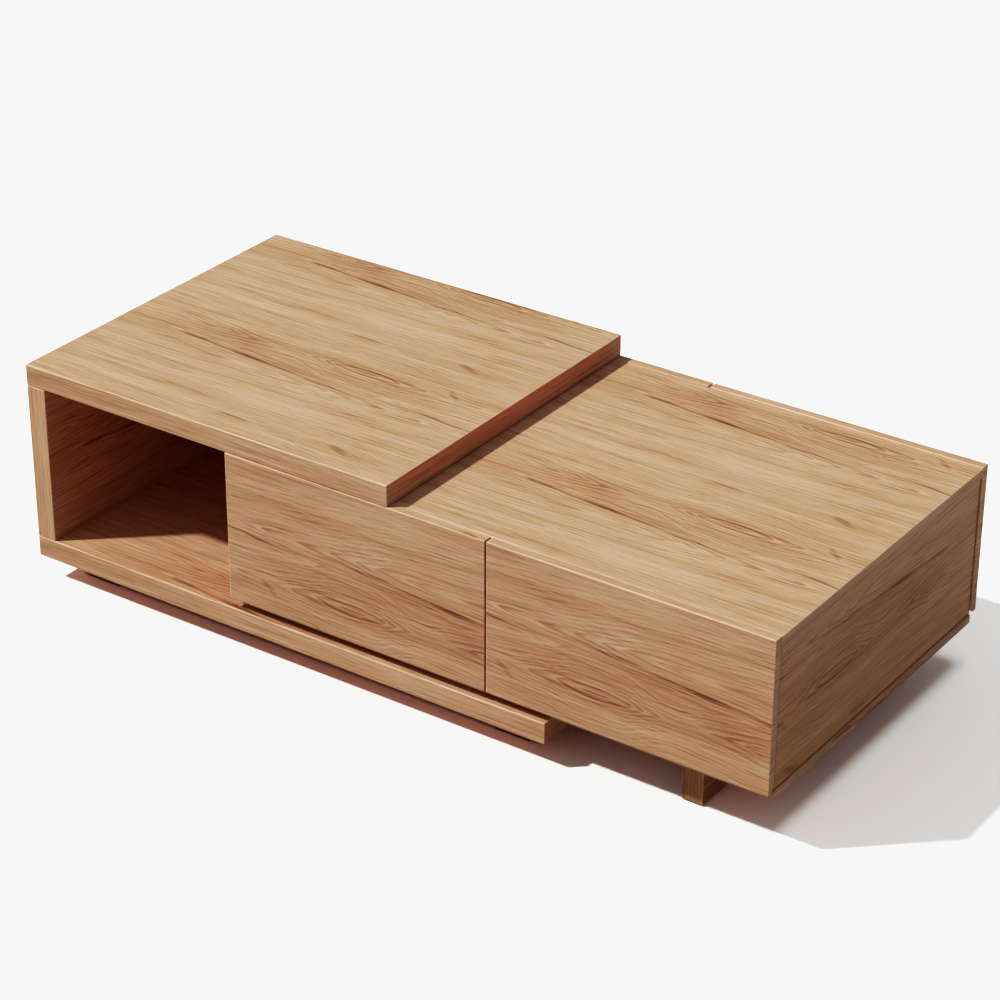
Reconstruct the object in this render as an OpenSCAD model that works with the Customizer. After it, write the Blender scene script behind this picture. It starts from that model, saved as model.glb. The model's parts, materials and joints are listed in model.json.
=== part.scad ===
// Extending coffee table: a thick-board shell with an open niche, and a box of four
// drawers that slides out of it to the right.
// The origin is on the floor under the middle of the closed table.
// +X runs along the table to the right, +Y to the rear and +Z up. Lengths are in millimetres.

/* [Table] */
// Depth of the table, front to rear
depth = 600; // [590:10:700]
// Height of the plinth under the shell, its felt included
plinth_height = 40; // [30:1:60]

/* [Shell] */
// Thickness of the shell's boards and of the foot board
board = 34; // [28:1:38]
// Height of the shell without its plinth
shell_height = 325; // [315:5:380]
// Length of the top board
top_length = 670; // [600:5:720]
// Length of the bottom board
bottom_length = 937; // [920:1:1000]
// How far the plinth stands back from the edges of the bottom board
plinth_inset = 46; // [30:1:70]
// Thickness of the plinth rails
rail_thickness = 18; // [15:1:22]

/* [Drawer box] */
// Distance from the shell's left end to the left edge of the left drawer fronts
fronts_offset = 380; // [340:5:390]
// Length of the box over its drawer fronts
box_length = 913; // [880:1:960]
// How far the box slides out
box_travel = 450; // [200:10:470]
// Gap between the box's top panel and the shell's top board
top_gap = 1.5; // [1.5:0.5:4]
// Gap between the box and the shell's bottom board, which the glides fill
glide_gap = 1.5; // [1:0.5:4]
// Thickness of the box's end panels and partition
end_thickness = 16; // [15:1:19]
// Thickness of the box's top panel
box_top_thickness = 15; // [12:1:19]
// Thickness of the box's bottom panel
box_bottom_thickness = 14; // [10:1:16]
// Gap between the drawer fronts and the edges of the box's panels
panel_gap = 0.5; // [0.5:0.5:10]
// How far the foot board stands in from the right end of the box
foot_inset = 126; // [80:1:160]

/* [Drawers] */
// Thickness of the drawer fronts
front_thickness = 16; // [14:1:18]
// Gap between two drawer fronts
front_gap = 3; // [2:0.5:5]
// Height of the drawer sides
drawer_height = 170; // [120:5:180]
// Length of the drawer sides
drawer_length = 255; // [251:1:256]
// Thickness of the drawer sides and back
side_thickness = 12; // [10:1:15]
// Thickness of the drawer bottoms
drawer_bottom_thickness = 6; // [4:1:8]
// Length of the drawer runners
runner_length = 250; // [200:10:250]

/* [Hidden] */
$fn = 48;
HAIR = 0.4;             // narrow gap between parts that pass each other
SLIP = 0.05;            // clearance of a dowel, screw or pin in its hole
FELT = 2;               // thickness of the felt pads
PANEL_INSET = 2;        // the right end panel stands back this far between top and bottom
NICHE_PANEL = 16;       // thickness of the niche's wall and back
DIVIDER = 12;           // thickness of the panels between front and rear drawers
FRONT_LIFT = 0.5;       // the drawer fronts end this far above the box's bottom panel
FRONT_RISE = 1;         // ... and reach this far above its top panel
FINGER_BEVEL = 8;       // bevel on the inner lower edge of a drawer front
RUNNER_SPACE = 13;      // gap beside a drawer that a runner fills
RUNNER_WALL = 1.2;      // sheet thickness of the runners
RUNNER_RISE = 62;       // height of a runner's middle line above the box's bottom panel
DRAWER_LIFT = 12;       // height of a drawer's lower edge above the box's bottom panel
GROOVE_DEPTH = 5;       // depth of the groove that holds a drawer bottom
GROOVE_RISE = 10;       // height of that groove above a drawer's lower edge
DOWEL_D = 8;
SHELL_DOWEL_REACH = 20; // how far the shell's dowels reach into each board
BOX_DOWEL_REACH = 16;   // how far the box's dowels reach into its upright panels
BOX_DOWEL_UP = 9;       // ... into its top panel
BOX_DOWEL_DOWN = 8;     // ... into its bottom panel
SCREW_D = 4.5;
SCREW_HEAD_D = 9;
SCREW_COVER = 12;       // wood left above the points of the plinth screws
FOOT_SCREW_LENGTH = 60;
RUNNER_SCREW = [8.5, 3.5, 6]; // length, diameter and head diameter
RUNNER_SCREW_PROUD = 2.2;     // the heads stand this far from the panel
PIN_D = 10;             // guide pins of the sliding box
PIN_REACH = 8;          // how far the pins reach into their grooves
PIN_GROOVE_DEPTH = 10;
PIN_INSET = 25;         // distance of the pins from the box's left end
PIN_Y = 120;            // distance of the pins and grooves from the middle line
GLIDE_LENGTH = 30;
GLIDE_WIDTH = 30;
GLIDE_END_GAP = 10;     // distance of a glide from the end of its panel
GLIDE_SIDE_GAP = 18;    // distance of a glide from the side of its panel
GLIDE_CLEARANCE = 0.1;
PAD_LENGTH = 60;        // felt pads under the plinth
PAD_END_GAP = 10;
PAD_MARGIN = 1;         // the rails show this much beside the pads
FOOT_FELT_MARGIN = 3;   // ... and the foot board this much round its felt

// Height, flange reach and distance from the web's side of the gap of each runner member
OUTER_CHANNEL = [35, 9.5, 0];
MIDDLE_CHANNEL = [27, 7.6, 3];
INNER_CHANNEL = [19, 8, 0];

total_length = fronts_offset + box_length;
left = -total_length / 2;
right = total_length / 2;
front = -depth / 2;

bottom_z = plinth_height;
bottom_top_z = bottom_z + board;
under_top_z = bottom_z + shell_height - board;

fronts_x = left + fronts_offset;
wall_x = fronts_x + PANEL_INSET;
box_x = wall_x + NICHE_PANEL + PANEL_INSET;
box_z = bottom_top_z + glide_gap;
box_floor_z = box_z + box_bottom_thickness;
box_top_z = under_top_z - top_gap;
box_ceiling_z = box_top_z - box_top_thickness;
panel_recess = front_thickness + panel_gap;
box_panel_depth = depth - 2 * panel_recess;
box_top_depth = depth - 2 * (front_thickness + HAIR);
seam_x = fronts_x + box_length / 2;
right_end_x = right - PANEL_INSET - end_thickness;
partition_x = seam_x - end_thickness / 2;
foot_x = right - foot_inset - board;
foot_length = depth - 2 * plinth_inset;
runner_y = panel_recess + 1;
pin_x = box_x + PIN_INSET;
plinth_screw_length = plinth_height - FELT + board - SCREW_COVER;
box_glide_y = box_panel_depth / 2 - GLIDE_SIDE_GAP - GLIDE_WIDTH;
shell_glide_y = box_glide_y - GLIDE_SIDE_GAP - GLIDE_WIDTH;

front_width = (box_length - front_gap) / 2;
front_z = box_floor_z + FRONT_LIFT;
drawer_z = box_floor_z + DRAWER_LIFT;
runner_z = box_floor_z + RUNNER_RISE;

// Each bay: its name, 1 if it is at the rear, the left edge of its drawer front,
// and the two walls that its drawer runs between
left_bay = [fronts_x, box_x + end_thickness, partition_x];
right_bay = [seam_x + front_gap / 2, partition_x + end_thickness, right_end_x];
BAYS = [
    ["front_left", 0, left_bay],
    ["front_right", 0, right_bay],
    ["rear_left", 1, left_bay],
    ["rear_right", 1, right_bay],
];

SHELL_NODES = [
    "shell_top", "shell_side", "shell_bottom", "niche_wall", "niche_back",
    "plinth_front", "plinth_rear", "plinth_left", "plinth_right", "plinth_cross",
    "plinth_felt", "plinth_screws", "shell_dowels", "shell_glides",
];
BOX_NODES = [
    "box_top", "box_bottom", "box_left_end", "box_right_end", "box_partition",
    "box_divider_left", "box_divider_right", "box_dowels", "foot_board", "foot_felt",
    "foot_screws", "guide_pins", "box_glides", "runner_screws",
];
DRAWER_PARTS = [
    "front", "side_left", "side_right", "back", "bottom",
    "runner_outer", "runner_middle", "runner_inner",
];

oak = [0.70, 0.54, 0.38];
oak_light = [0.78, 0.64, 0.48];
birch = [0.82, 0.74, 0.60];
steel = [0.66, 0.68, 0.70];
nylon = [0.90, 0.90, 0.86];
felt = [0.25, 0.22, 0.20];

// Positions of the fasteners and pads
side_dowel_y = [for (step = [-1.5:1:1.5]) step * 0.27 * depth];
wall_dowel_y = [for (step = [-1:1]) step * 0.33 * depth];
box_dowel_y = [for (step = [-1:1]) step * 0.36 * depth];
box_dowel_x = [box_x, partition_x, right_end_x] + end_thickness / 2 * [1, 1, 1];
rail_screw_x = [for (step = [-1:1]) left + bottom_length / 2 + step * 0.38 * bottom_length];
short_rail_x = [
    left + plinth_inset,
    left + (bottom_length - rail_thickness) / 2,
    left + bottom_length - plinth_inset - rail_thickness,
];
pad_x = [
    left + plinth_inset + PAD_END_GAP,
    left + bottom_length - plinth_inset - PAD_END_GAP - PAD_LENGTH,
];
foot_screw_y = [for (step = [-1.5:1:1.5]) step * 0.24 * depth];
runner_screw_step = [0.12, 0.5, 0.88];

// ---- Shapes that repeat ----

module slab(corner, size) translate(corner) cube(size);

// Upright dowel or dowel hole that reaches "up" above a joint line and "down" below it
module dowel(x, y, joint_z, up, down, diameter) {
    translate([x, y, joint_z - down]) cylinder(h = up + down, d = diameter);
}

module shell_dowel(x, y, joint_z, diameter) {
    dowel(x, y, joint_z, SHELL_DOWEL_REACH, SHELL_DOWEL_REACH, diameter);
}

// Countersunk screw that points along +Z, with its head's face at z = 0
module countersunk_screw(length, diameter, head) {
    head_height = (head - diameter) / 2;
    cylinder(h = head_height, d1 = head, d2 = diameter);
    translate([0, 0, head_height]) cylinder(h = length - head_height, d = diameter);
}

module shell_dowel_set(slip = 0) {
    size = DOWEL_D + 2 * slip;
    for (y = side_dowel_y) {
        shell_dowel(left + board / 2, y, under_top_z, size);
        shell_dowel(left + board / 2, y, bottom_top_z, size);
    }
    for (y = wall_dowel_y) {
        shell_dowel(wall_x + NICHE_PANEL / 2, y, under_top_z, size);
        shell_dowel(wall_x + NICHE_PANEL / 2, y, bottom_top_z, size);
    }
}

module box_dowel_set(slip = 0) {
    size = DOWEL_D + 2 * slip;
    for (x = box_dowel_x, y = box_dowel_y) {
        dowel(x, y, box_ceiling_z, BOX_DOWEL_UP, BOX_DOWEL_REACH, size);
        dowel(x, y, box_floor_z, BOX_DOWEL_REACH, BOX_DOWEL_DOWN, size);
    }
}

module plinth_screw_set(slip = 0) {
    diameter = SCREW_D + 2 * slip;
    head = SCREW_HEAD_D + 2 * slip;
    side_y = front + plinth_inset + rail_thickness / 2;
    for (x = rail_screw_x, y = [side_y, -side_y])
        translate([x, y, FELT]) countersunk_screw(plinth_screw_length, diameter, head);
    for (x = short_rail_x)
        translate([x + rail_thickness / 2, 0, FELT])
            countersunk_screw(plinth_screw_length, diameter, head);
}

module foot_screw_set(slip = 0) {
    for (y = foot_screw_y)
        translate([foot_x + board / 2, y, box_floor_z])
            mirror([0, 0, 1])
                countersunk_screw(FOOT_SCREW_LENGTH, SCREW_D + 2 * slip, SCREW_HEAD_D + 2 * slip);
}

module pin_set(slip = 0) {
    for (y = [-PIN_Y, PIN_Y])
        translate([pin_x, y, bottom_top_z - PIN_REACH])
            cylinder(h = box_floor_z - bottom_top_z + PIN_REACH, d = PIN_D + 2 * slip);
}

// Long slot with round ends in the bottom board, in which a guide pin travels
module pin_groove(y) {
    width = PIN_D + 2 * HAIR;
    groove_z = bottom_top_z - PIN_GROOVE_DEPTH;
    translate([pin_x, y - width / 2, groove_z]) cube([box_travel, width, PIN_GROOVE_DEPTH + 1]);
    for (x = [pin_x, pin_x + box_travel])
        translate([x, y, groove_z]) cylinder(h = PIN_GROOVE_DEPTH + 1, d = width);
}

// Children stand in a row of drawers: y = 0 is the face of the drawer fronts
module in_row(bay) {
    mirror([0, bay[1], 0]) translate([0, front, 0]) children();
}

// C-shaped steel member along +Y, with its web at x = 0 and its flanges towards +X
module channel(height, reach) {
    translate([0, 0, -height / 2]) {
        difference() {
            cube([reach, runner_length, height]);
            translate([RUNNER_WALL, -1, RUNNER_WALL])
                cube([reach, runner_length + 2, height - 2 * RUNNER_WALL]);
        }
    }
}

// The two walls of a bay, each with the direction from it into the bay
function bay_walls(bay) = [[bay[2][1], 1], [bay[2][2], -1]];

// One channel at each wall of a bay, with its web to the wall or, where facing is -1, to the drawer
module channel_pair(bay, section, facing = 1) {
    web_x = facing > 0 ? section[2] : RUNNER_SPACE - section[2];
    in_row(bay)
        for (wall = bay_walls(bay))
            translate([wall[0] + wall[1] * web_x, runner_y, runner_z])
                mirror([wall[1] * facing > 0 ? 0 : 1, 0, 0])
                    channel(section[0], section[1]);
}

module runner_screw_set(bay, slip = 0) {
    diameter = RUNNER_SCREW[1] + 2 * slip;
    head = RUNNER_SCREW[2] + 2 * slip;
    in_row(bay)
        for (wall = bay_walls(bay), step = runner_screw_step)
            translate([
                wall[0] + wall[1] * RUNNER_SCREW_PROUD,
                runner_y + step * runner_length,
                runner_z
            ])
                rotate([0, -90 * wall[1], 0])
                    countersunk_screw(RUNNER_SCREW[0], diameter, head);
}

module all_runner_screws(slip = 0) {
    for (bay = BAYS) runner_screw_set(bay, slip);
}

// ---- Shell ----

module shell_top() color(oak) difference() {
    slab([left, front, under_top_z], [top_length, depth, board]);
    shell_dowel_set(SLIP);
}

module shell_side() color(oak) difference() {
    slab([left, front, bottom_top_z], [board, depth, under_top_z - bottom_top_z]);
    shell_dowel_set(SLIP);
}

module shell_bottom() color(oak) difference() {
    slab([left, front, bottom_z], [bottom_length, depth, board]);
    shell_dowel_set(SLIP);
    plinth_screw_set(SLIP);
    for (y = [-PIN_Y, PIN_Y]) pin_groove(y);
}

// Wall between the niche and the drawer box
module niche_wall() color(oak) difference() {
    slab(
        [wall_x, -box_panel_depth / 2, bottom_top_z],
        [NICHE_PANEL, box_panel_depth, under_top_z - bottom_top_z]
    );
    shell_dowel_set(SLIP);
}

// Closes the rear of the niche, between the side and the niche's wall
module niche_back() color(oak) slab(
    [left + board, box_panel_depth / 2 - NICHE_PANEL, bottom_top_z],
    [wall_x - left - board, NICHE_PANEL, under_top_z - bottom_top_z]
);

// Plinth rail along X, at the front or, with side = 1, at the rear
module long_rail(side) color(oak) difference() {
    mirror([0, side, 0])
        slab(
            [left + plinth_inset, front + plinth_inset, FELT],
            [bottom_length - 2 * plinth_inset, rail_thickness, plinth_height - FELT]
        );
    plinth_screw_set(SLIP);
}

// Plinth rail along Y, between the long rails
module short_rail(x) color(oak) difference() {
    slab(
        [x, front + plinth_inset + rail_thickness, FELT],
        [rail_thickness, depth - 2 * (plinth_inset + rail_thickness), plinth_height - FELT]
    );
    plinth_screw_set(SLIP);
}

module plinth_front() long_rail(0);
module plinth_rear() long_rail(1);
module plinth_left() short_rail(short_rail_x[0]);
module plinth_cross() short_rail(short_rail_x[1]);
module plinth_right() short_rail(short_rail_x[2]);

module plinth_felt() color(felt)
    for (x = pad_x, side = [0, 1])
        mirror([0, side, 0])
            slab(
                [x, front + plinth_inset + PAD_MARGIN, 0],
                [PAD_LENGTH, rail_thickness - 2 * PAD_MARGIN, FELT]
            );

module plinth_screws() color(steel) plinth_screw_set();

module shell_dowels() color(birch) shell_dowel_set();

// Low pads near the right end of the bottom board, on which the box slides
module shell_glides() color(nylon)
    for (side = [0, 1])
        mirror([0, side, 0])
            slab(
                [left + bottom_length - GLIDE_END_GAP - GLIDE_LENGTH, shell_glide_y, bottom_top_z],
                [GLIDE_LENGTH, GLIDE_WIDTH, glide_gap - GLIDE_CLEARANCE]
            );

// ---- Drawer box ----

module box_top() color(oak) difference() {
    slab([box_x, -box_top_depth / 2, box_ceiling_z], [right - box_x, box_top_depth, box_top_thickness]);
    box_dowel_set(SLIP);
}

module box_bottom() color(oak) difference() {
    slab([box_x, -box_panel_depth / 2, box_z], [right - box_x, box_panel_depth, box_bottom_thickness]);
    box_dowel_set(SLIP);
    foot_screw_set(SLIP);
    pin_set(SLIP);
}

// Upright panel across the box at the given x
module cross_panel(x) color(oak) difference() {
    slab(
        [x, -box_panel_depth / 2, box_floor_z],
        [end_thickness, box_panel_depth, box_ceiling_z - box_floor_z]
    );
    box_dowel_set(SLIP);
    all_runner_screws(SLIP);
}

module box_left_end() cross_panel(box_x);
module box_right_end() cross_panel(right_end_x);
module box_partition() cross_panel(partition_x);

// Panel between the front and the rear drawer of one side
module divider(walls) color(oak_light) slab(
    [walls[1], -DIVIDER / 2, box_floor_z],
    [walls[2] - walls[1], DIVIDER, box_ceiling_z - box_floor_z]
);

module box_divider_left() divider(left_bay);
module box_divider_right() divider(right_bay);

module box_dowels() color(birch) box_dowel_set();

module foot_board() color(oak) difference() {
    slab([foot_x, -foot_length / 2, FELT], [board, foot_length, box_z - FELT]);
    foot_screw_set(SLIP);
}

module foot_felt() color(felt)
    slab(
        [foot_x + FOOT_FELT_MARGIN, FOOT_FELT_MARGIN - foot_length / 2, 0],
        [board - 2 * FOOT_FELT_MARGIN, foot_length - 2 * FOOT_FELT_MARGIN, FELT]
    );

module foot_screws() color(steel) foot_screw_set();

module guide_pins() color(nylon) pin_set();

// Low pads under the left end of the box
module box_glides() color(nylon)
    for (side = [0, 1])
        mirror([0, side, 0])
            slab(
                [box_x + GLIDE_END_GAP, box_glide_y, bottom_top_z + GLIDE_CLEARANCE],
                [GLIDE_LENGTH, GLIDE_WIDTH, glide_gap - GLIDE_CLEARANCE]
            );

module runner_screws() color(steel) all_runner_screws();

// ---- Drawers ----

// Bottom panel's edges lie in grooves; with slip it is the cutter for them
module drawer_bottom_shape(bay, slip) {
    walls = bay[2];
    x = walls[1] + RUNNER_SPACE + side_thickness - GROOVE_DEPTH;
    y = front_thickness - GROOVE_DEPTH;
    reach = drawer_length + 2 * GROOVE_DEPTH - side_thickness;
    slab(
        [x - slip, y - slip, drawer_z + GROOVE_RISE - slip / 2],
        [
            walls[2] - walls[1] - 2 * (RUNNER_SPACE + side_thickness - GROOVE_DEPTH) + 2 * slip,
            reach + 2 * slip,
            drawer_bottom_thickness + slip
        ]
    );
}

module drawer_front(bay) color(oak) in_row(bay) difference() {
    translate([bay[2][0], 0, front_z])
        rotate([90, 0, 90])
            linear_extrude(front_width)
                polygon([
                    [0, 0],
                    [front_thickness - FINGER_BEVEL, 0],
                    [front_thickness, FINGER_BEVEL],
                    [front_thickness, box_top_z + FRONT_RISE - front_z],
                    [0, box_top_z + FRONT_RISE - front_z]
                ]);
    drawer_bottom_shape(bay, SLIP);
}

module drawer_side(bay, x) color(oak_light) in_row(bay) difference() {
    slab([x, front_thickness, drawer_z], [side_thickness, drawer_length, drawer_height]);
    drawer_bottom_shape(bay, SLIP);
}

module drawer_back(bay) color(oak_light) in_row(bay) difference() {
    inside_x = bay[2][1] + RUNNER_SPACE + side_thickness;
    slab(
        [inside_x, front_thickness + drawer_length - side_thickness, drawer_z],
        [bay[2][2] - RUNNER_SPACE - side_thickness - inside_x, side_thickness, drawer_height]
    );
    drawer_bottom_shape(bay, SLIP);
}

module drawer_bottom(bay) color(oak_light) in_row(bay) drawer_bottom_shape(bay, 0);

// The three members of a runner slide in each other: the outer one is on the box,
// the inner one on the drawer, and the middle one moves half as far
module runner_outer(bay) color(steel) difference() {
    channel_pair(bay, OUTER_CHANNEL);
    runner_screw_set(bay, SLIP);
}

module runner_middle(bay) color(steel) channel_pair(bay, MIDDLE_CHANNEL);

module runner_inner(bay) color(steel) channel_pair(bay, INNER_CHANNEL, -1);

// ---- Everything in its place ----

shell_top();
shell_side();
shell_bottom();
niche_wall();
niche_back();
plinth_front();
plinth_rear();
plinth_left();
plinth_right();
plinth_cross();
plinth_felt();
plinth_screws();
shell_dowels();
shell_glides();
box_top();
box_bottom();
box_left_end();
box_right_end();
box_partition();
box_divider_left();
box_divider_right();
box_dowels();
foot_board();
foot_felt();
foot_screws();
guide_pins();
box_glides();
runner_screws();
for (bay = BAYS) {
    left_side_x = bay[2][1] + RUNNER_SPACE;
    right_side_x = bay[2][2] - RUNNER_SPACE - side_thickness;
    drawer_front(bay);
    drawer_side(bay, left_side_x);
    drawer_side(bay, right_side_x);
    drawer_back(bay);
    drawer_bottom(bay);
    runner_outer(bay);
    runner_middle(bay);
    runner_inner(bay);
}
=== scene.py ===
"""Extending coffee table in oak: looks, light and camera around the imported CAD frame.

Every CAD node keeps its mesh and its place. It gets a procedural material and, in the slots
oak, drawer_oak and nylon, modifiers that soften its edges. The nodes in the slot oak share
one node group that draws a veneer by formula. Lengths are in metres, but in millimetres in
the veneer's figure and for the camera's lens and sensor.
"""

import json
import math

import bpy
from mathutils import Matrix, Vector


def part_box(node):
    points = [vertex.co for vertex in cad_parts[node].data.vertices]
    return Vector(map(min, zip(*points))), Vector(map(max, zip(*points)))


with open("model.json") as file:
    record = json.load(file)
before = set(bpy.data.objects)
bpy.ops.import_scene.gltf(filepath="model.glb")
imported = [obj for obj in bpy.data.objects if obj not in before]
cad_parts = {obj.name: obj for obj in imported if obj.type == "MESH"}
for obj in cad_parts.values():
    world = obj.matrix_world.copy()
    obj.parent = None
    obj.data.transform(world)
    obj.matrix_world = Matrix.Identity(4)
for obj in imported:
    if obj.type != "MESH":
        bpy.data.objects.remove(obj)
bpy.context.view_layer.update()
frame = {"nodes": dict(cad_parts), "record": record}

# Camera: where it stands, which way it looks and its roll in degrees, its lens and sensor
CAMERA_PLACE = (2.2584, -3.2572, 2.3360)
CAMERA_AZIMUTH = 34.65
CAMERA_ELEVATION = 28.28
CAMERA_ROLL = 0.23
CAMERA_LENS = 109.45
SENSOR_WIDTH = 36

# Sun: its travel for each unit that it drops, its size in degrees, strength and colour
SUN_TRAVEL = (0.647, 0.56, -1.0)
SUN_ANGLE = 2.5
SUN_STRENGTH = 2.9
SUN_COLOR = (1.0, 0.975, 0.94)

# Sky: its colour and strength, and the share of it gained towards each axis
SKY_COLOR = (1.0, 0.99, 0.985)
SKY_STRENGTH = 0.4
SKY_BRIGHT_SIDE = (-0.18, -0.08, 0.0)

# Light that falls on the floor alone: more sun, and a wide lamp from the other side
FLOOR_SUN_STRENGTH = 0.8
FLOOR_LAMP_TRAVEL = (-0.14, -0.08, -1.0)
FLOOR_LAMP_ANGLE = 20
FLOOR_LAMP_STRENGTH = 1.2

# Floor: how far it reaches, its colour, and the colours it throws its light back with, on
# the first bounce back from what is seen and on all later ones
FLOOR_REACH = 30.0
FLOOR_COLOR = (0.90, 0.925, 0.92)
FIRST_BOUNCE_COLOR = (0.217, 0.164, 0.133)
LATER_BOUNCE_COLOR = (0.62, 0.73, 0.74)
PAST_FIRST_BOUNCE = 1.5

# Tone: light below the knee is deepened by this power, and nothing is brighter than the top.
# The steps of the curve lie closer together where it is dark, as the spacing power says.
TONE_KNEE = 0.38
TONE_POWER = 1.6
TONE_TOP = 0.93
TONE_STEPS = 12
TONE_SPACING = 1.5
ALL_CHANNELS = 3

# Soft edges: their width on boards and on thin panels, how close points are joined, and the
# angles in degrees below which faces are flat and above which an edge is rounded
BOARD_EDGE = 0.0014
PANEL_EDGE = 0.0006
WELD_DISTANCE = 0.00001
FLAT_ANGLE = 1
SHARP_ANGLE = 35


# ---- Shader nodes written as arithmetic ----


class Field:
    """A value in a node tree; arithmetic on it adds the nodes that work it out."""

    def __init__(self, tree, socket):
        self.tree = tree
        self.socket = socket

    def calc(self, operation, *others):
        node = self.tree.nodes.new("ShaderNodeMath")
        node.operation = operation
        for slot, value in zip(node.inputs, (self, *others)):
            if isinstance(value, Field):
                self.tree.links.new(value.socket, slot)
            else:
                slot.default_value = value
        return Field(self.tree, node.outputs[0])

    def __add__(self, other):
        return self.calc("ADD", other)

    def __sub__(self, other):
        return self.calc("SUBTRACT", other)

    def __mul__(self, other):
        return self.calc("MULTIPLY", other)

    def __truediv__(self, other):
        return self.calc("DIVIDE", other)

    def squared(self):
        return self.calc("MULTIPLY", self)

    def ramp(self, low, high, to_low=0.0, to_high=1.0):
        """Smooth step from to_low at low to to_high at high."""
        node = self.tree.nodes.new("ShaderNodeMapRange")
        node.interpolation_type = "SMOOTHSTEP"
        self.tree.links.new(self.socket, node.inputs["Value"])
        node.inputs["From Min"].default_value = low
        node.inputs["From Max"].default_value = high
        node.inputs["To Min"].default_value = to_low
        node.inputs["To Max"].default_value = to_high
        return Field(self.tree, node.outputs["Result"])

    def blend(self, low, high):
        """low where this field is 0 and high where it is 1."""
        return (high - low) * self + low

    def curve(self, points, reach):
        """Smooth curve through points, with x from 0 to reach and y from 0 to 1."""
        node = self.tree.nodes.new("ShaderNodeFloatCurve")
        line = node.mapping.curves[0]
        for spare in list(line.points)[1:-1]:
            line.points.remove(spare)
        line.points[0].location = (0, points[0][1])
        line.points[1].location = (1, points[-1][1])
        for x, y in points[1:-1]:
            line.points.new(x / reach, y)
        node.mapping.update()
        self.tree.links.new((self / reach).socket, node.inputs["Value"])
        return Field(self.tree, node.outputs[0])


def smallest(first, second, softness):
    return first.calc("SMOOTH_MIN", second, softness)


def point(tree, x, y, z):
    node = tree.nodes.new("ShaderNodeCombineXYZ")
    for slot, value in zip(node.inputs, (x, y, z)):
        if isinstance(value, Field):
            tree.links.new(value.socket, slot)
        else:
            slot.default_value = value
    return node.outputs[0]


def noise(tree, place, detail=2.0, roughness=0.5):
    node = tree.nodes.new("ShaderNodeTexNoise")
    tree.links.new(place, node.inputs["Vector"])
    node.inputs["Scale"].default_value = 1
    node.inputs["Detail"].default_value = detail
    node.inputs["Roughness"].default_value = roughness
    return Field(tree, node.outputs["Fac"])


def color_ramp(tree, value, stops):
    node = tree.nodes.new("ShaderNodeValToRGB")
    tree.links.new(value.socket, node.inputs["Fac"])
    ramp = node.color_ramp
    while len(ramp.elements) < len(stops):
        ramp.elements.new(0.5)
    for element, (place, color) in zip(ramp.elements, stops):
        element.position = place
        element.color = (*color, 1)
    return node.outputs["Color"]


def color_mix(tree, amount, first, second, mode="MIX"):
    node = tree.nodes.new("ShaderNodeMix")
    node.data_type = "RGBA"
    node.blend_type = mode
    tree.links.new(amount.socket, node.inputs["Factor"])
    for name, color in (("A", first), ("B", second)):
        slot = next(s for s in node.inputs if s.name == name and s.type == "RGBA")
        if isinstance(color, bpy.types.NodeSocket):
            tree.links.new(color, slot)
        else:
            slot.default_value = (*color, 1)
    return next(s for s in node.outputs if s.type == "RGBA")


# ---- Wood figure, one node group for the slot oak; its lengths are in millimetres ----

MM = 0.001

# The figure repeats across the grain, and this is the place across of its middle line
REPEAT = 320
FIGURE_MIDDLE = 372

# Rings: their gap, how round their tips are, how softly arch and lens rings meet, and by
# how many rings they wander
RING_GAP = 6.2
TIP_ROUND = 3.5
MEETING = 6
WANDER = 1.6

# Two sets of rings: the place across of their middle line, and the depth of their centres
# below the surface, at places along the grain, as fractions of DEPTH_UNIT
DEPTH_UNIT = 60
FIGURE_LENGTH = 655
ARCH_MIDDLE = 81
ARCH_DEPTH = [(0, 0.02), (280, 0.27), (365, 0.40), (400, 0.48), (495, 0.70), (655, 0.95)]
LENS_MIDDLE = -2
LENS_DEPTH = [
    (0, 0.05), (100, 0.15), (166, 0.26), (203, 0.36), (245, 0.43), (295, 0.48), (335, 0.36),
    (418, 0.10), (510, 0.30), (600, 0.48), (655, 0.55),
]

# Spots where the rings stand out: place along and across the grain, half length, half
# width and strength
ACCENTS = [
    (203, -1, 15, 13, 1.00),
    (165, -2, 12, 11, 0.90),
    (246, 0, 15, 14, 0.45),
    (296, 0, 20, 16, 0.35),
    (418, -3, 110, 20, 0.60),
    (405, 80, 22, 13, 0.80),
    (366, 82, 20, 13, 0.40),
    (493, 76, 28, 13, 0.45),
    (575, 78, 45, 16, 0.40),
    (540, 12, 90, 16, 0.25),
]

# Single darker streaks: place along and across the grain, half length, half width, slope
# and strength
STREAKS = [
    (243, 52, 46, 3.6, 0.075, 0.95),
    (132, 42, 34, 3.0, 0.13, 1.00),
    (290, 56, 210, 2.2, 0.075, 0.90),
    (630, 62, 75, 2.2, 0.02, 0.80),
    (300, 42, 130, 2.2, 0.085, 0.45),
    (400, 68, 90, 1.8, 0.05, 0.40),
    (425, -9, 95, 3.2, 0.01, 0.65),
    (440, 6, 120, 1.8, 0.03, 0.45),
    (330, 20, 160, 1.8, 0.01, 0.40),
    (350, -26, 170, 1.6, -0.01, 0.40),
    (352, -98, 34, 3.5, 0.02, 0.50),
    (538, -101, 26, 5.0, 0.35, 0.65),
    (572, -14, 16, 4.5, 0.60, 0.65),
    (100, -149, 60, 1.3, 0.01, 0.40),
    (520, -145, 140, 1.4, 0.0, 0.35),
    (150, -91, 130, 1.4, 0.035, 0.55),
    (570, 60, 80, 2.0, 0.06, 0.45),
    (200, 100, 120, 1.8, -0.03, 0.40),
    (545, 92, 60, 2.2, -0.08, 0.45),
    (60, 30, 70, 2.4, 0.03, 0.45),
    (90, -40, 80, 1.8, 0.02, 0.35),
]

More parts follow.
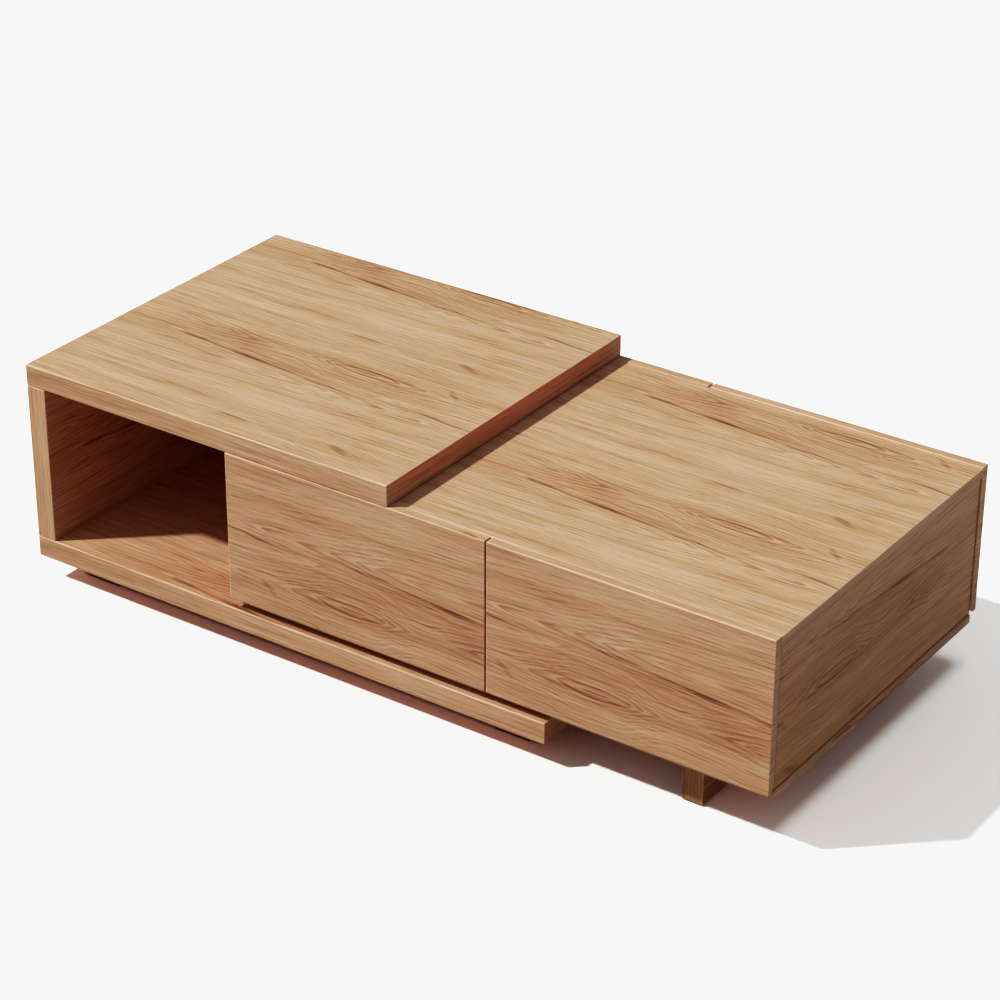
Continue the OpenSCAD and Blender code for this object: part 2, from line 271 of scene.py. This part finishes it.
# Wide soft shades: place along and across the grain, half length, half width and strength
SHADES = [
    (330, 20, 330, 48, 0.34),
    (180, 0, 90, 30, 0.25),
    (520, -52, 130, 20, 0.25),
    (20, 40, 90, 30, 0.20),
    (560, -100, 70, 16, 0.18),
]

# Noises drawn out along the grain: length and width of their features, detail, roughness
# and seed
GRAINS = {
    "drift": (170, 70, 2.0, 0.5, 0),
    "shiver": (45, 16, 2.0, 0.5, 3),
    "fray": (55, 2.6, 2.0, 0.6, 7),
    "bands": (480, 24, 2.0, 0.55, 11),
    "strands": (230, 4.0, 2.0, 0.65, 17),
    "threads": (60, 1.5, 1.0, 0.6, 19),
    "fibre": (24, 0.7, 1.0, 0.6, 23),
    "pores": (11, 0.6, 0.0, 0.5, 29),
    "redness": (240, 40, 1.0, 0.5, 31),
    "dashes": (75, 1.2, 1.0, 0.5, 41),
    "breaks": (110, 2.0, 1.0, 0.6, 47),
    "glints": (110, 1.8, 1.0, 0.5, 53),
}

# How far the grain wanders from straight, over long and short lengths
DRIFT = 16
SHIVER = 5

# How much each part darkens the wood, and the tone where none of them does. Bands, strands,
# threads and fibre lie around a half, so the ground is far below the middle tone.
DARKENING = {
    "bands": 0.58,
    "strands": 0.54,
    "threads": 0.56,
    "fibre": 0.16,
    "lines": 1.0,
    "dark": 0.50,
    "shade": 0.38,
    "dashes": 0.20,
    "glints": -0.13,
    "pores": 0.05,
}
GROUND_TONE = -0.64


def oval(along, across, middle, height, half_length, half_width, strength):
    """Soft oval patch: strength at its middle and nothing outside."""
    run = (along - middle) / half_length
    rise = (across - height) / half_width
    return (run.squared() + rise.squared()).ramp(0.0, 1.0, strength, 0.0)


def streak(along, across, middle, height, half_length, half_width, slope, strength):
    """Stroke along the grain, widest at its middle and drawn out at its ends."""
    run = (along - middle) / half_length
    taper = run.squared().ramp(0.0, 1.0, strength, 0.0)
    rise = (across - height - (along - middle) * slope) / half_width
    return rise.squared().ramp(0.0, 2.2, 1.0, 0.0) * taper


def total(fields):
    result = fields[0]
    for field in fields[1:]:
        result = result + field
    return result


def make_figure_group():
    """Group from a place on the veneer, in metres, to tone, redness, fibre and pores."""
    group = bpy.data.node_groups.new("oak_figure", "ShaderNodeTree")
    for name in ("Along", "Across"):
        group.interface.new_socket(name, in_out="INPUT", socket_type="NodeSocketFloat")
    for name in ("Tone", "Redness", "Fibre", "Pores"):
        group.interface.new_socket(name, in_out="OUTPUT", socket_type="NodeSocketFloat")
    source = group.nodes.new("NodeGroupInput")
    sink = group.nodes.new("NodeGroupOutput")

    along = Field(group, source.outputs["Along"]) / MM
    raw_across = Field(group, source.outputs["Across"]) / MM
    turn = raw_across * (2 * math.pi / REPEAT)
    radius = REPEAT / (2 * math.pi)
    ring_y = turn.calc("COSINE") * radius
    ring_z = turn.calc("SINE") * radius

    def grain(name):
        length, width, detail, roughness, seed = GRAINS[name]
        place = point(group, along / length, ring_y / width + seed, ring_z / width)
        return noise(group, place, detail, roughness)

    drift = (grain("drift") - 0.5) * DRIFT + (grain("shiver") - 0.5) * SHIVER
    across = (raw_across - FIGURE_MIDDLE + drift).calc("WRAP", REPEAT / 2, -REPEAT / 2)

    rings = None
    for middle, depth_line in ((ARCH_MIDDLE, ARCH_DEPTH), (LENS_MIDDLE, LENS_DEPTH)):
        depth = along.curve(depth_line, FIGURE_LENGTH) * DEPTH_UNIT
        spread = ((across - middle).squared() + TIP_ROUND * TIP_ROUND).calc("SQRT")
        reach = spread + depth - TIP_ROUND
        rings = reach if rings is None else smallest(rings, reach, MEETING)

    # Each ring darkens slowly and ends sharply; the rings wander and fade in and out
    wander = noise(group, point(group, along / 260, rings / 14, 5), 1.0)
    growth = (rings / RING_GAP + wander * WANDER).calc("FRACT")
    late = growth.ramp(0.15, 0.85) - growth.ramp(0.86, 1.0)
    fade = noise(group, point(group, along / 110, rings / (RING_GAP * 0.8), 9), 1.0)
    accent = total([oval(along, across, *spot) for spot in ACCENTS])
    boldness = rings.ramp(45, 110, 0.34, 0.16) * fade.ramp(0.30, 0.68, 0.10, 1.15) + accent * 0.36

    shade = total([oval(along, across, *patch) for patch in SHADES])
    streaks = total([streak(along, across, *stroke) for stroke in STREAKS])
    fibre = grain("fibre")
    pores = grain("pores").ramp(0.60, 0.72)
    parts = {
        "bands": grain("bands"),
        "strands": grain("strands"),
        "threads": grain("threads"),
        "fibre": fibre,
        "lines": (late - 0.35) * boldness * grain("breaks").ramp(0.3, 0.7, 0.5, 1.4),
        "dark": streaks * grain("fray").ramp(0.25, 0.7, 0.35, 1.15),
        "shade": shade,
        "dashes": grain("dashes").ramp(0.55, 0.68),
        "glints": grain("glints").ramp(0.55, 0.68),
        "pores": pores,
    }
    tone = total([field * DARKENING[name] for name, field in parts.items()]) + GROUND_TONE
    redness = grain("redness").ramp(0.40, 0.66) * 0.6 + shade * 0.8

    outputs = (("Tone", tone), ("Redness", redness), ("Fibre", fibre), ("Pores", pores))
    for name, field in outputs:
        group.links.new(field.socket, sink.inputs[name])
    return group


# ---- Materials ----

BUMP_STRENGTH = 0.6

# Plain wood: features of its bands and its fibres per metre, along the grain and across it
WOOD_BANDS = (2.2, 45, 45)
WOOD_FIBRES = (14, 700, 700)


def new_material(name):
    material = bpy.data.materials.new(name)
    material.use_nodes = True
    return material, material.node_tree, material.node_tree.nodes["Principled BSDF"]


def object_place(tree):
    """Three fields with the place on the piece, in metres."""
    spot = tree.nodes.new("ShaderNodeTexCoord")
    split = tree.nodes.new("ShaderNodeSeparateXYZ")
    tree.links.new(spot.outputs["Object"], split.inputs[0])
    return [Field(tree, output) for output in split.outputs]


# A face looks along an axis if it is squarer to it than the first limit. A rounded edge is
# less square than the second limit to every axis.
FACE_LIMIT = 0.6
EDGE_LIMIT = 0.97


def squareness(tree):
    """Three fields: how squarely a face looks along X, Y and Z, from 0 to 1."""
    geometry = tree.nodes.new("ShaderNodeNewGeometry")
    split = tree.nodes.new("ShaderNodeSeparateXYZ")
    tree.links.new(geometry.outputs["True Normal"], split.inputs[0])
    return [Field(tree, output).calc("ABSOLUTE") for output in split.outputs]


def facing(tree):
    """Two fields: 1 on ends, which look along X, and 1 on fronts, which look along Y."""
    return [side.calc("GREATER_THAN", FACE_LIMIT) for side in squareness(tree)[:2]]


def rounded_edge(tree):
    """1 on the rounded edges, which look along no axis, and 0 on the faces."""
    x, y, z = squareness(tree)
    return x.calc("MAXIMUM", y).calc("MAXIMUM", z).calc("LESS_THAN", EDGE_LIMIT)


def near_rim(tree, name, width):
    """1 close to the rim of a panel that looks along X, where shade in its joint's groove is
    painted.
    """
    low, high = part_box(name)
    y, z = object_place(tree)[1:]
    nearest = y - low[1]
    for gap in (z - low[2], y * -1 + high[1], z * -1 + high[2]):
        nearest = nearest.calc("MINIMUM", gap)
    return nearest.calc("LESS_THAN", width)


def light_path(tree, output):
    path = tree.nodes.new("ShaderNodeLightPath")
    return Field(tree, path.outputs[output])


def add_bump(tree, shader, height, distance):
    """Fine relief: height from 0 to 1 stands for distance, in metres."""
    bump = tree.nodes.new("ShaderNodeBump")
    bump.inputs["Strength"].default_value = BUMP_STRENGTH
    bump.inputs["Distance"].default_value = distance
    tree.links.new(height.socket, bump.inputs["Height"])
    tree.links.new(bump.outputs["Normal"], shader.inputs["Normal"])


# Veneer tones from light to dark, and what the redder patches are multiplied by
OAK_TONES = [
    (0.00, (0.645, 0.487, 0.360)),
    (0.35, (0.525, 0.358, 0.242)),
    (0.65, (0.402, 0.250, 0.152)),
    (1.00, (0.225, 0.112, 0.068)),
]
OAK_RED = (0.98, 0.925, 0.90)

# What rounded edges are multiplied by: a painted highlight, and painted shade in a joint's
# groove. The painted shade along the rims of such a groove has this width.
PAINTED_EDGE_HIGHLIGHT = (1.36, 1.46, 1.56)
PAINTED_GROOVE_SHADE = (0.45, 0.38, 0.33)
RIM_WIDTH = 0.0028

# Multiplying by this leaves a colour as it is
UNCHANGED = (1.0, 1.0, 1.0)

# What the light is multiplied by that the wood throws onto other surfaces
OAK_GLOW = (1.08, 0.64, 0.60)
DEEP_GLOW = (1.15, 0.55, 0.42)
REDDEST_GLOW = (1.30, 0.42, 0.22)


class Sheet:
    """Where a face lies on the veneer, in metres along and across its grain, and which way."""

    def __init__(self, along, across, way=1):
        self.along = along
        self.across = across
        self.way = way

    def lay(self, run, cross):
        return run * self.way + self.along, cross * -self.way + self.across


def make_oak(
    name, flat, front, end, upright=False,
    edge=PAINTED_EDGE_HIGHLIGHT, glow=OAK_GLOW, tint=UNCHANGED, painted_rim_shade=False,
):
    """Oak veneer, with a sheet each for level faces, fronts (look along Y) and ends (along X).

    The grain of the fronts runs up if upright. The rounded edges are multiplied by edge, a
    painted highlight or painted shade, the light thrown onto others by glow and the whole by
    tint, painted shade for boards that stand in shade; the last flag paints shade along the
    ends' rims, in the groove of their joint.
    """
    material, tree, shader = new_material("oak_" + name)
    x, y, z = object_place(tree)
    on_end, on_front = facing(tree)
    flat_along, flat_across = flat.lay(x, y)
    front_along, front_across = front.lay(z, x) if upright else front.lay(x, z)
    end_along, end_across = end.lay(y, z)
    along = on_end.blend(on_front.blend(flat_along, front_along), end_along)
    across = on_end.blend(on_front.blend(flat_across, front_across), end_across)

    figure = tree.nodes.new("ShaderNodeGroup")
    figure.node_tree = bpy.data.node_groups["oak_figure"]
    tree.links.new(along.socket, figure.inputs["Along"])
    tree.links.new(across.socket, figure.inputs["Across"])
    tone, redness, fibre, pores = [Field(tree, output) for output in figure.outputs]

    thrown = light_path(tree, "Is Diffuse Ray")
    wood = color_ramp(tree, tone, OAK_TONES)
    wood = color_mix(tree, redness, wood, OAK_RED, "MULTIPLY")
    # tint paints shade on boards that stand in shade, a little less on the lighter figure
    tinted = tone.ramp(-1.0, 0.5, 0.7, 1.0)
    wood = color_mix(tree, tinted, wood, tint, "MULTIPLY")
    # Painted shade along the rims of an end, in a joint's groove too small to show its shade
    if painted_rim_shade:
        wood = color_mix(tree, near_rim(tree, name, RIM_WIDTH), wood, PAINTED_GROOVE_SHADE, "MULTIPLY")
    # Painted highlight, or painted shade in a groove, on the rounded edges, but not in the light
    # thrown onto others
    rounded = rounded_edge(tree)
    wood = color_mix(tree, rounded - rounded * thrown, wood, edge, "MULTIPLY")
    wood = color_mix(tree, thrown, wood, glow, "MULTIPLY")
    tree.links.new(wood, shader.inputs["Base Color"])
    tree.links.new((fibre * 0.16 + tone * 0.08 + 0.40).socket, shader.inputs["Roughness"])
    shader.inputs["Specular IOR Level"].default_value = 0.2
    add_bump(tree, shader, fibre - pores * 0.6, 0.00025)
    return material


def rated_noise(place, rates, detail, roughness=0.5):
    """Noise with this many features per metre along each of a place's three fields."""
    tree = place[0].tree
    spots = [axis * rate for axis, rate in zip(place, rates)]
    return noise(tree, point(tree, *spots), detail, roughness)


def make_plain_wood(name, tones, along_x=True):
    """Plain straight-grained wood, for the slots drawer_oak and birch."""
    material, tree, shader = new_material(name)
    x, y, z = object_place(tree)
    place = (x, y, z) if along_x else (y, x, z)
    bands = rated_noise(place, WOOD_BANDS, 2.0, 0.6)
    fibre = rated_noise(place, WOOD_FIBRES, 1.0)
    tone = bands.ramp(0.3, 0.7) * 0.75 + (fibre - 0.5) * 0.5
    tree.links.new(color_ramp(tree, tone, tones), shader.inputs["Base Color"])
    tree.links.new((fibre * 0.2 + 0.42).socket, shader.inputs["Roughness"])
    add_bump(tree, shader, fibre, 0.0002)
    return material


def make_finish(name, relief, tones, rough, rougher, depth, stain=None, metallic=0.0):
    """Finish with one noise for relief and roughness, and for colour too if there's no stain."""
    material, tree, shader = new_material(name)
    place = object_place(tree)
    height = rated_noise(place, *relief)
    shade = rated_noise(place, *stain) if stain else height
    tree.links.new(color_ramp(tree, shade, tones), shader.inputs["Base Color"])
    shader.inputs["Metallic"].default_value = metallic
    tree.links.new((height * rougher + rough).socket, shader.inputs["Roughness"])
    add_bump(tree, shader, height, depth)
    return material


# Finishes: features per metre, detail and roughness of each noise, tones, the surface's
# roughness and what the noise adds to it, and the depth of the relief
BRUSHED_STEEL = {
    "relief": ((900, 25, 900), 2.0),
    "stain": ((30, 30, 30), 2.0),
    "tones": [(0.2, (0.52, 0.53, 0.54)), (0.8, (0.70, 0.71, 0.72))],
    "rough": 0.22,
    "rougher": 0.25,
    "depth": 0.00005,
    "metallic": 1.0,
}
FELT = {
    "relief": ((1600, 1600, 1600), 3.0, 0.7),
    "tones": [(0.3, (0.025, 0.022, 0.020)), (0.7, (0.075, 0.067, 0.060))],
    "rough": 0.88,
    "rougher": 0.1,
    "depth": 0.0005,
}
NYLON = {
    "relief": ((900, 900, 900), 2.0),
    "tones": [(0.3, (0.74, 0.73, 0.69)), (0.7, (0.82, 0.81, 0.78))],
    "rough": 0.38,
    "rougher": 0.15,
    "depth": 0.0001,
}


# ---- Which piece gets which wood ----

# Sheets for the edges of the shell's bottom board, and for faces that are hardly seen
LOW_EDGE = Sheet(0.30, 0.279)
ANY_FLAT = Sheet(0.37, 0.29)
ANY_FRONT = Sheet(0.41, 0.57)
ANY_END = Sheet(0.23, 0.50)

# Sheets of the veneer on each board: level faces, fronts, ends, grain upright or not
OAK_BOARDS = {
    "shell_top": (Sheet(0.6345, 0.337), Sheet(0.30, 0.57), Sheet(0.30, 0.57), False),
    "shell_side": (ANY_FLAT, Sheet(0.1, -0.408), Sheet(0.33, 0.62), True),
    "shell_bottom": (Sheet(0.50, 0.13), LOW_EDGE, LOW_EDGE, False),
    "niche_wall": (ANY_FLAT, Sheet(0.1, 0.0), Sheet(0.40, 0.45), True),
    "niche_back": (ANY_FLAT, Sheet(0.62, 0.60), ANY_END, False),
    "box_top": (Sheet(-0.0235, 0.300), Sheet(0.0, 0.54), Sheet(0.35, 0.54), False),
    "box_right_end": (ANY_FLAT, ANY_FRONT, Sheet(0.300, 0.17, -1), False),
    "foot_board": (ANY_FLAT, Sheet(0.2, 0.73), Sheet(0.3, 0.26), True),
    "front_left_front": (ANY_FLAT, Sheet(0.3805, 0.225, -1), ANY_END, False),
    "front_right_front": (ANY_FLAT, Sheet(0.7945, 0.215, -1), ANY_END, False),
    "rear_left_front": (ANY_FLAT, Sheet(0.44, 0.55), ANY_END, False),
    "rear_right_front": (ANY_FLAT, Sheet(0.02, 0.62), ANY_END, False),
}

# What differs on single boards from the plain look of make_oak
BOARD_LOOKS = {
    "shell_top": {"glow": DEEP_GLOW},
    "shell_side": {"glow": DEEP_GLOW},
    "shell_bottom": {"glow": DEEP_GLOW},
    "niche_wall": {"glow": DEEP_GLOW},
    "box_top": {"glow": REDDEST_GLOW},
    # The right end stands in shade: painted shade in the groove at its rims and edges, and a tint
    # that paints its shade warmer
    "box_right_end": {"edge": PAINTED_GROOVE_SHADE, "tint": (0.99, 0.90, 0.81), "painted_rim_shade": True},
    # The foot stands in shade under the box, which its tint paints darker
    "foot_board": {"tint": (0.77, 0.69, 0.62)},
}

# Tones of the plain wood in and between the drawers, and of the dowels
DRAWER_TONES = [(0.1, (0.60, 0.44, 0.28)), (0.5, (0.50, 0.34, 0.20)), (1.0, (0.38, 0.24, 0.13))]
BIRCH_TONES = [(0.1, (0.70, 0.57, 0.40)), (1.0, (0.56, 0.42, 0.27))]

EDGE_WIDTHS = {"oak": BOARD_EDGE, "drawer_oak": PANEL_EDGE, "nylon": PANEL_EDGE / 2}


def soften_edges(node, width):
    """Joins the flat facets into whole faces and rounds the sharp edges."""
    weld = node.modifiers.new("weld", "WELD")
    weld.merge_threshold = WELD_DISTANCE
    flats = node.modifiers.new("flats", "DECIMATE")
    flats.decimate_type = "DISSOLVE"
    flats.angle_limit = math.radians(FLAT_ANGLE)
    edges = node.modifiers.new("edges", "BEVEL")
    edges.width = width
    edges.segments = 2
    edges.angle_limit = math.radians(SHARP_ANGLE)
    edges.use_clamp_overlap = False
    edges.harden_normals = False


def dress_nodes():
    """Gives each CAD node its own veneer or the material of its slot, and soft edges."""
    make_figure_group()
    plain_oak = make_oak("plain", ANY_FLAT, ANY_FRONT, ANY_END, edge=UNCHANGED)
    drawer_across = make_plain_wood("drawer_wood_across", DRAWER_TONES)
    drawer_along = make_plain_wood("drawer_wood_along", DRAWER_TONES, along_x=False)
    by_slot = {
        "oak": plain_oak,
        "birch": make_plain_wood("birch", BIRCH_TONES),
        "steel": make_finish("brushed_steel", **BRUSHED_STEEL),
        "felt": make_finish("felt", **FELT),
        "nylon": make_finish("nylon", **NYLON),
    }
    slots = {part["node"]: part["material_slot"] for part in frame["record"]["subparts"]}
    for name, node in frame["nodes"].items():
        slot = slots[name]
        if name in OAK_BOARDS:
            flat, front, end, upright = OAK_BOARDS[name]
            looks = BOARD_LOOKS.get(name, {})
            material = make_oak(name, flat, front, end, upright, **looks)
        elif slot == "drawer_oak":
            material = drawer_along if "_side_" in name else drawer_across
        else:
            material = by_slot[slot]
        node.data.materials.clear()
        node.data.materials.append(material)
        if slot in EDGE_WIDTHS:
            soften_edges(node, EDGE_WIDTHS[slot])


# ---- Camera, light and floor ----


def make_camera():
    data = bpy.data.cameras.new("camera")
    data.lens = CAMERA_LENS
    data.sensor_width = SENSOR_WIDTH
    camera = bpy.data.objects.new("camera", data)
    bpy.context.scene.collection.objects.link(camera)
    turn = Matrix.Rotation(math.radians(CAMERA_AZIMUTH), 3, "Z")
    tilt = Matrix.Rotation(math.radians(90 - CAMERA_ELEVATION), 3, "X")
    roll = Matrix.Rotation(math.radians(CAMERA_ROLL), 3, "Z")
    camera.rotation_euler = (turn @ tilt @ roll).to_euler()
    camera.location = CAMERA_PLACE
    bpy.context.scene.camera = camera


def make_sun(name, travel, angle, strength, color=(1, 1, 1)):
    data = bpy.data.lights.new(name, "SUN")
    data.energy = strength
    data.angle = math.radians(angle)
    data.color = color
    sun = bpy.data.objects.new(name, data)
    bpy.context.scene.collection.objects.link(sun)
    sun.rotation_euler = Vector(travel).to_track_quat("-Z", "Y").to_euler()
    return sun


def make_sky():
    world = bpy.data.worlds.new("sky")
    bpy.context.scene.world = world
    world.use_nodes = True
    tree = world.node_tree
    background = tree.nodes["Background"]
    background.inputs["Color"].default_value = (*SKY_COLOR, 1)
    direction = tree.nodes.new("ShaderNodeTexCoord").outputs["Generated"]
    side = tree.nodes.new("ShaderNodeVectorMath")
    side.operation = "DOT_PRODUCT"
    side.inputs[1].default_value = SKY_BRIGHT_SIDE
    tree.links.new(direction, side.inputs[0])
    strength = Field(tree, side.outputs["Value"]) * SKY_STRENGTH + SKY_STRENGTH
    tree.links.new(strength.socket, background.inputs["Strength"])


def make_floor():
    """Pale floor that throws less light back onto what is seen than its colour would."""
    mesh = bpy.data.meshes.new("floor")
    low, high = -FLOOR_REACH, FLOOR_REACH
    corners = [(low, low, 0), (high, low, 0), (high, high, 0), (low, high, 0)]
    mesh.from_pydata(corners, [], [(0, 1, 2, 3)])
    floor = bpy.data.objects.new("floor", mesh)
    bpy.context.scene.collection.objects.link(floor)
    material, tree, shader = new_material("floor")
    later = light_path(tree, "Diffuse Depth").calc("GREATER_THAN", PAST_FIRST_BOUNCE)
    bounce = color_mix(tree, later, FIRST_BOUNCE_COLOR, LATER_BOUNCE_COLOR)
    color = color_mix(tree, light_path(tree, "Is Diffuse Ray"), FLOOR_COLOR, bounce)
    tree.links.new(color, shader.inputs["Base Color"])
    shader.inputs["Roughness"].default_value = 0.9
    shader.inputs["Specular IOR Level"].default_value = 0.1
    mesh.materials.append(material)
    return floor


def light_floor_only(lamp, floor):
    receivers = bpy.data.collections.new(lamp.name + "_receivers")
    receivers.objects.link(floor)
    lamp.light_linking.receiver_collection = receivers


def deepen(light):
    if light < TONE_KNEE:
        return TONE_KNEE * (light / TONE_KNEE) ** TONE_POWER
    return min(light, TONE_TOP)


def set_tone_curve():
    view = bpy.context.scene.view_settings
    view.view_transform = "Standard"
    view.use_curve_mapping = True
    mapping = view.curve_mapping
    mapping.extend = "HORIZONTAL"
    line = mapping.curves[ALL_CHANNELS]
    line.points[0].location = (0, 0)
    line.points[1].location = (1, TONE_TOP)
    for step in range(1, TONE_STEPS):
        light = (step / TONE_STEPS) ** TONE_SPACING
        line.points.new(light, deepen(light))
    mapping.update()


make_camera()
make_sun("sun", SUN_TRAVEL, SUN_ANGLE, SUN_STRENGTH, SUN_COLOR)
make_sky()
floor = make_floor()
floor_sun = make_sun("floor_sun", SUN_TRAVEL, SUN_ANGLE, FLOOR_SUN_STRENGTH)
floor_lamp = make_sun("floor_lamp", FLOOR_LAMP_TRAVEL, FLOOR_LAMP_ANGLE, FLOOR_LAMP_STRENGTH)
light_floor_only(floor_sun, floor)
light_floor_only(floor_lamp, floor)
set_tone_curve()
dress_nodes()
